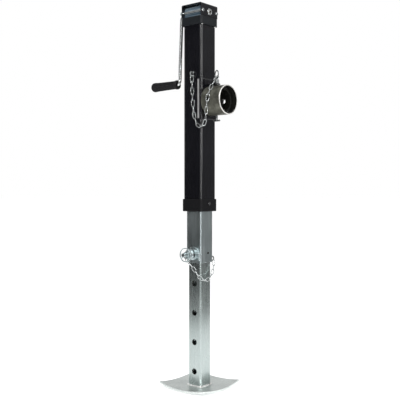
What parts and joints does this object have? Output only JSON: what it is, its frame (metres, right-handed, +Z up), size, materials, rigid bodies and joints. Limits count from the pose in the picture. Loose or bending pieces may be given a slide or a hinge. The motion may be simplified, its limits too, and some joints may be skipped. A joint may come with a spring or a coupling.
{
  "type": "trailer jack",
  "caption": "Side-wind square-tube trailer jack with a drop leg, dished foot and swivelling weld-on pipe mount.",
  "frame": {"origin": "centre of the foot plate's underside, on the ground, on the tubes' axis", "axes": "+Z up along the tubes; +X towards the pipe mount; -X towards the crank; -Y towards the leg's plunger"},
  "size_m": [0.2646, 0.156, 0.99],
  "materials": {
    "black_paint": "gloss black enamel",
    "black_plastic": "moulded black, fine grain",
    "raw_pipe_steel": "bare mill-scale pipe, oiled",
    "machined_steel": "turned and greased",
    "bronze": "plain bearing bronze",
    "rubber_grip": "ribbed black rubber",
    "shield_steel": "glossy blue-grey sheet",
    "dark_zinc": "dull dark plated",
    "zinc_plate": "satin zinc plate"
  },
  "bodies": {
    "mount": {"mount_pipe": "raw_pipe_steel"},
    "clamp": {"clamp_screw": "dark_zinc"},
    "jack": {"outer_tube": "black_paint", "bottom_collar": "black_plastic", "collar_screw_left": "black_paint", "collar_screw_right": "black_paint", "chain_eye_upper": "dark_zinc", "saddle_plate": "black_paint", "pivot_stub": "raw_pipe_steel", "pivot_retaining_ring": "dark_zinc", "lock_pin_guide": "black_paint", "gear_base": "black_paint", "gear_cover": "black_paint", "gear_shield_front": "shield_steel", "gear_shield_rear": "shield_steel", "cover_bolt_front": "zinc_plate", "cover_nut_front": "zinc_plate", "cover_bolt_rear": "zinc_plate", "cover_nut_rear": "zinc_plate", "shaft_bushing_left": "bronze", "shaft_bushing_right": "bronze", "bearing_plate": "machined_steel", "thrust_bearing": "machined_steel", "upper_chain": "zinc_plate"},
    "lock": {"lock_pin": "dark_zinc", "lock_pin_eye": "dark_zinc"},
    "crank": {"crank_shaft": "machined_steel", "bevel_pinion": "machined_steel", "pinion_pin": "dark_zinc", "shaft_washer": "zinc_plate", "crank_socket": "zinc_plate", "crank_arm": "zinc_plate", "crank_bolt": "zinc_plate", "crank_nut": "zinc_plate", "grip_cap_nut": "zinc_plate"},
    "grip": {"handle_grip": "rubber_grip"},
    "screw": {"lead_screw": "machined_steel", "bevel_gear": "machined_steel", "gear_pin": "dark_zinc"},
    "ram": {"ram_tube": "zinc_plate", "drive_nut": "bronze", "latch_plate": "zinc_plate", "latch_housing": "zinc_plate", "latch_spring": "zinc_plate", "chain_eye_lower": "dark_zinc", "lower_chain": "zinc_plate"},
    "plunger": {"latch_plunger": "zinc_plate", "plunger_clip": "zinc_plate", "chain_ring": "zinc_plate"},
    "pull_ring": {"pull_ring": "zinc_plate"},
    "leg": {"drop_leg": "zinc_plate", "foot_plate": "zinc_plate"}
  },
  "joints": [
    {"name": "swivel", "type": "hinge", "parent": "mount", "child": "jack", "pos_m": [0.057, 0, 0.741], "axis": [1, 0, 0], "range_deg": [-90, 0]},
    {"name": "clamp_turn", "type": "hinge", "parent": "mount", "child": "clamp", "pos_m": [0.057, 0, 0.7], "axis": [0, 0, 1], "range_deg": [-360, 360]},
    {"name": "lock_pin_slide", "type": "slide", "parent": "jack", "child": "lock", "axis": [0, 0, -1], "range_m": [0, 0.0095], "deforming": ["upper_chain"]},
    {"name": "crank_turn", "type": "hinge", "parent": "jack", "child": "crank", "pos_m": [0, 0, 0.97], "axis": [-1, 0, 0], "range_deg": [-10080, 18720]},
    {"name": "grip_spin", "type": "hinge", "parent": "crank", "child": "grip", "pos_m": [-0.12, 0, 0.794], "axis": [1, 0, 0], "continuous": true},
    {"name": "screw_turn", "type": "hinge", "parent": "jack", "child": "screw", "pos_m": [0, 0, 0.95], "axis": [0, 0, 1], "range_deg": [-5050, 9370]},
    {"name": "ram_slide", "type": "slide", "parent": "jack", "child": "ram", "axis": [0, 0, -1], "range_m": [-0.08895, 0.16515]},
    {"name": "leg_slide", "type": "slide", "parent": "ram", "child": "leg", "axis": [0, 0, 1], "range_m": [0, 0.3048]},
    {"name": "plunger_pull", "type": "slide", "parent": "ram", "child": "plunger", "axis": [0, 1, 0], "range_m": [0, 0.006], "deforming": ["latch_spring", "lower_chain"]},
    {"name": "pull_ring_swing", "type": "hinge", "parent": "plunger", "child": "pull_ring", "pos_m": [0, -0.057, 0.3475], "axis": [0.8, 0, 0.6], "range_deg": [-25, 25]}
  ],
  "couplings": [
    {"joint": "screw_turn", "follows": "crank_turn", "ratio": 0.5},
    {"joint": "ram_slide", "follows": "crank_turn", "m_per_rad": 0.00050532}
  ]
}
